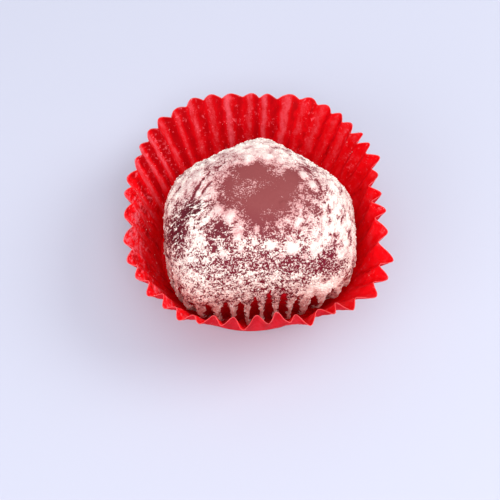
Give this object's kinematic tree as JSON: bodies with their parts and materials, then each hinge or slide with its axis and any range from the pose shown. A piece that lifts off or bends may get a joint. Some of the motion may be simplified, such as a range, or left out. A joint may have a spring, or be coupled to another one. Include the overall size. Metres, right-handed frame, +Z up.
{
  "type": "mochi in a paper case",
  "caption": "Round filled rice cake, domed and dusted with flour, with ribs round its foot, sitting in a spread red fluted paper case.",
  "frame": {"origin": "on the surface that the case stands on, under the middle of the whole object's box", "axes": "+Z up; -Y is the front, where the ribs of the cake show over the case's lowest wall; the cake's one sharp corner points to +Y"},
  "size_m": [0.0674, 0.0708, 0.033],
  "materials": {
    "floury_rice": "soft rice dough under a patchy coat of dry white flour, matte",
    "red_paper": "thin red greaseproof paper, pleated, slightly waxy"
  },
  "bodies": {
    "root": {"mochi": "floury_rice", "paper_case": "red_paper"}
  },
  "joints": []
}
